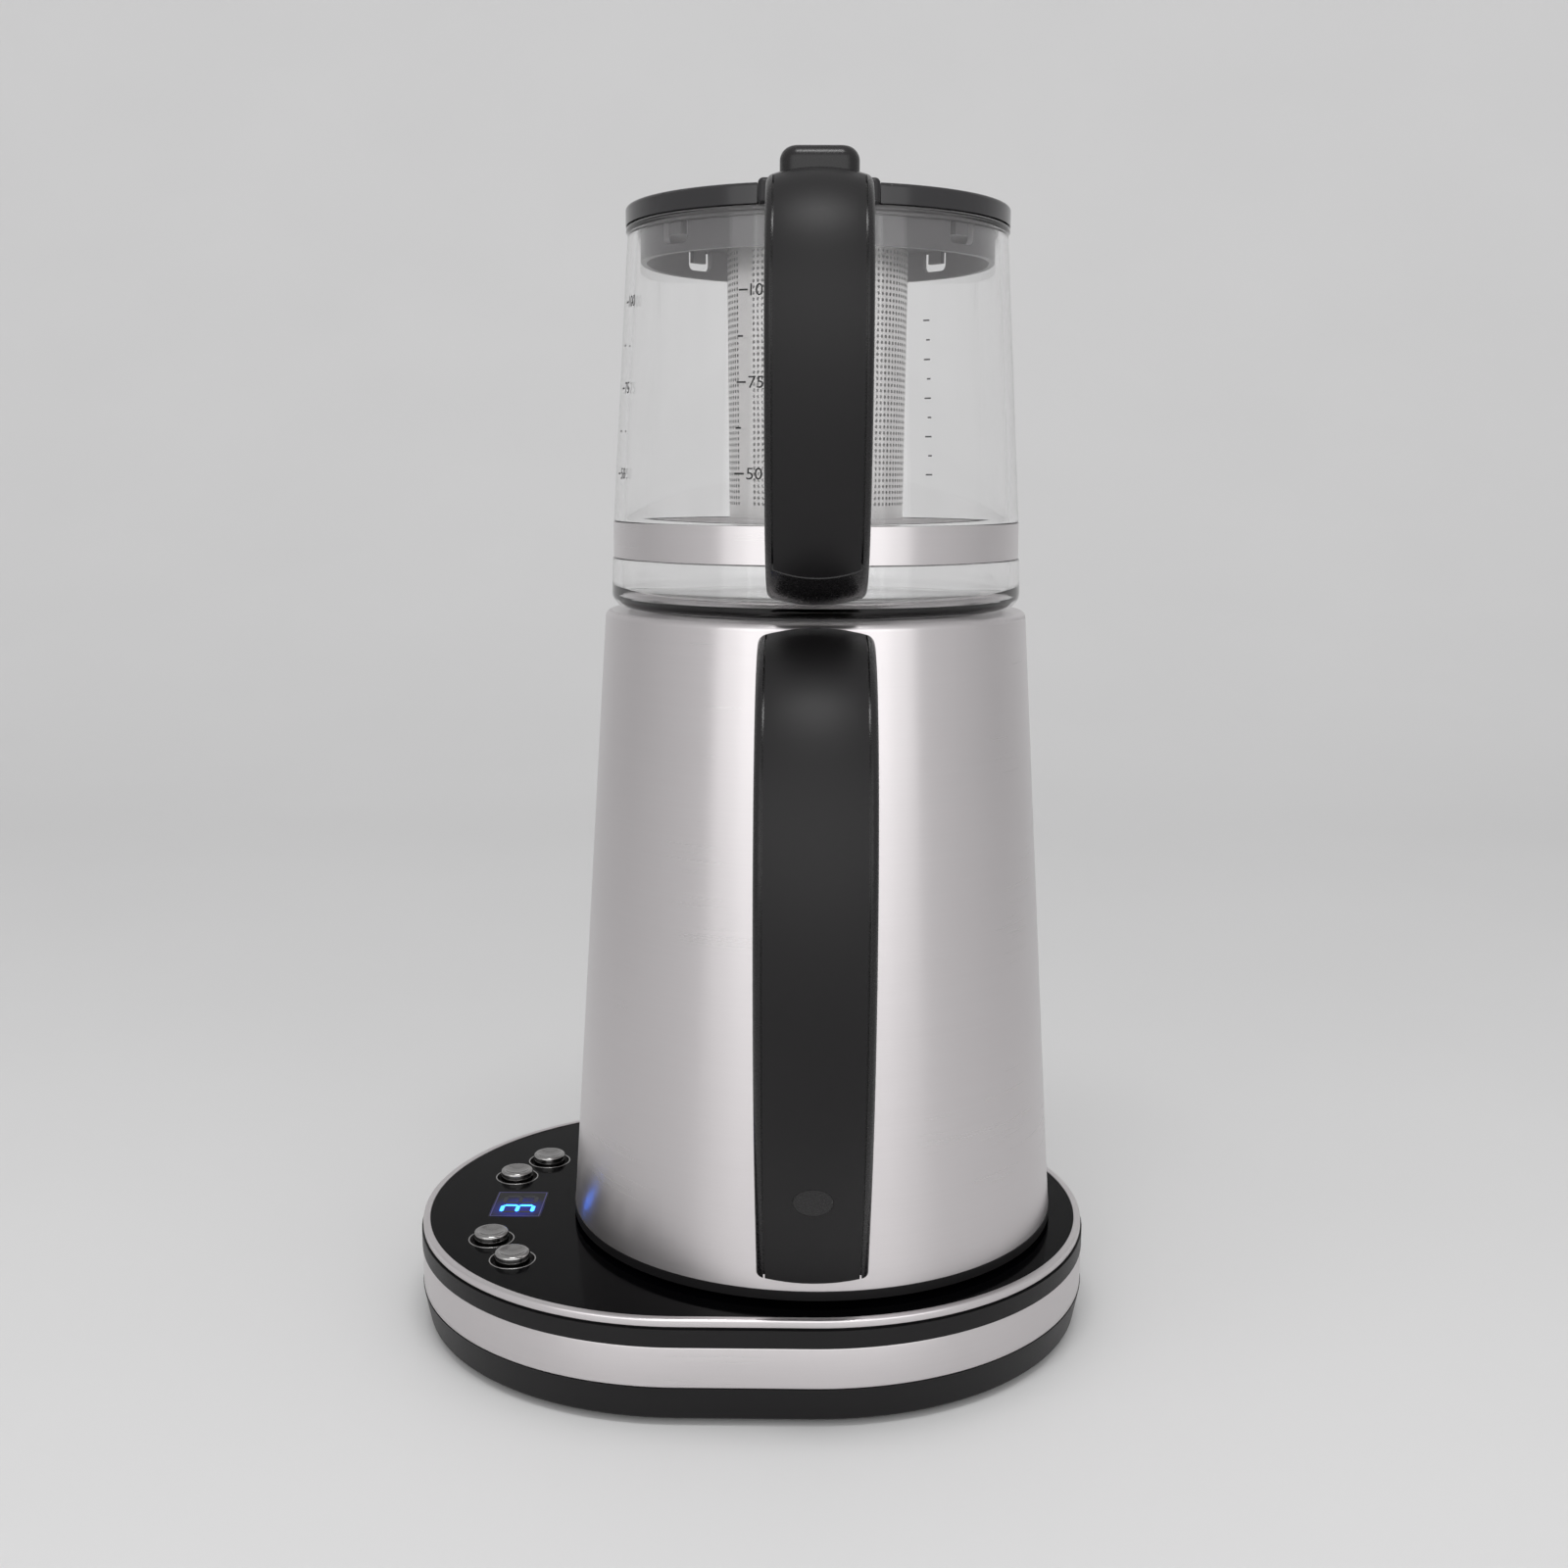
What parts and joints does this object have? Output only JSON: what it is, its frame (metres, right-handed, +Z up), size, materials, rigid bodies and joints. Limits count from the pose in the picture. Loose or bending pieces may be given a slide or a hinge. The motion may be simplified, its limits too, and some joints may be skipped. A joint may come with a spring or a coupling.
{
  "type": "automatic tea maker",
  "caption": "Stacked electric tea maker: steel kettle on a powered base with push buttons and a display, under a glass brewing jug with a handle, hinged lid and infuser basket.",
  "frame": {"origin": "on the kettle's axis, on the underside of the base's rubber foot ring", "axes": "+Z up along the kettle's axis, -Y towards the two handles, -X towards the control panel"},
  "size_m": [0.216, 0.2163, 0.353],
  "materials": {
    "housing_plastic": "satin moulded black",
    "brushed_steel": "brushed round the body",
    "gloss_panel": "glossy black",
    "display_smoke": "glossy smoked window",
    "satin_chrome": "satin plated",
    "polished_chrome": "polished",
    "foot_rubber": "matt",
    "handle_plastic": "fine matt charcoal",
    "handle_cover_plastic": "fine matt charcoal",
    "circuit_board": "solder mask",
    "component_plastic": "moulded",
    "contact_brass": "bright",
    "plain_steel": "plain",
    "sieve_steel": "perforated sheet",
    "silicone": "translucent grey",
    "jug_glass": "clear",
    "collar_plastic": "smoky translucent",
    "lid_plastic": "dark grey gloss"
  },
  "bodies": {
    "base": {"base_bottom_housing": "housing_plastic", "base_band": "brushed_steel", "base_upper_housing": "housing_plastic", "panel_rim": "brushed_steel", "top_panel": "gloss_panel", "button_bezels": "polished_chrome", "foot_ring": "foot_rubber", "rubber_pads": "foot_rubber", "housing_screws": "plain_steel", "cord_bush": "housing_plastic", "display_window": "display_smoke", "control_board": "circuit_board", "tact_switches": "component_plastic", "display_module": "component_plastic", "power_board": "circuit_board", "power_components": "component_plastic", "buzzer": "component_plastic", "dock_connector": "component_plastic", "dock_contacts": "contact_brass"},
    "button_a": {"button_1": "satin_chrome"},
    "button_b": {"button_2": "satin_chrome"},
    "button_c": {"button_3": "satin_chrome"},
    "button_d": {"button_4": "satin_chrome"},
    "swivel": {"dock_shroud": "component_plastic"},
    "kettle": {"kettle_shell": "brushed_steel", "kettle_bottom_cover": "housing_plastic", "bottom_screws": "plain_steel", "heater_plate": "plain_steel", "heating_element": "plain_steel", "kettle_socket": "component_plastic", "temperature_probe": "plain_steel", "mouth_ring": "plain_steel", "seat_gasket": "silicone", "kettle_spout": "brushed_steel", "spout_strainer": "sieve_steel", "kettle_handle_cover": "handle_cover_plastic", "kettle_handle_plug": "handle_plastic", "kettle_handle_frame": "handle_plastic", "kettle_handle_screws": "plain_steel"},
    "jug": {"glass_jug": "jug_glass", "jug_band": "brushed_steel", "jug_handle_cover": "handle_cover_plastic", "jug_handle_frame": "handle_plastic", "jug_handle_screw": "plain_steel", "release_spring": "plain_steel"},
    "release": {"release_button": "handle_plastic"},
    "infuser": {"infuser_collar": "collar_plastic", "collar_seal": "silicone", "infuser_basket": "sieve_steel", "basket_base": "sieve_steel", "hinge_pin": "plain_steel"},
    "lid": {"lid_cover": "lid_plastic", "lid_seal": "silicone"}
  },
  "joints": [
    {"name": "button_1_press", "type": "slide", "parent": "base", "child": "button_a", "axis": [0, 0, -1], "range_m": [0, 0.001], "stiffness_N_per_m": 1400},
    {"name": "button_2_press", "type": "slide", "parent": "base", "child": "button_b", "axis": [0, 0, -1], "range_m": [0, 0.001], "stiffness_N_per_m": 1400},
    {"name": "button_3_press", "type": "slide", "parent": "base", "child": "button_c", "axis": [0, 0, -1], "range_m": [0, 0.001], "stiffness_N_per_m": 1400},
    {"name": "button_4_press", "type": "slide", "parent": "base", "child": "button_d", "axis": [0, 0, -1], "range_m": [0, 0.001], "stiffness_N_per_m": 1400},
    {"name": "kettle_swivel", "type": "hinge", "parent": "base", "child": "swivel", "pos_m": [0, 0, 0.033], "axis": [0, 0, 1], "continuous": true},
    {"name": "kettle_lift", "type": "slide", "parent": "swivel", "child": "kettle", "axis": [0, 0, 1], "range_m": [0, 0.15]},
    {"name": "jug_lift", "type": "slide", "parent": "kettle", "child": "jug", "axis": [0, 0, 1], "range_m": [0, 0.15]},
    {"name": "release_press", "type": "slide", "parent": "jug", "child": "release", "axis": [0, 0, -1], "range_m": [0, 0.0025], "stiffness_N_per_m": 600, "deforming": ["release_spring"]},
    {"name": "infuser_lift", "type": "slide", "parent": "jug", "child": "infuser", "axis": [0, 0, 1], "range_m": [0, 0.11]},
    {"name": "lid_hinge", "type": "hinge", "parent": "infuser", "child": "lid", "pos_m": [0, -0.057, 0.347], "axis": [1, 0, 0], "range_deg": [0, 85]}
  ]
}
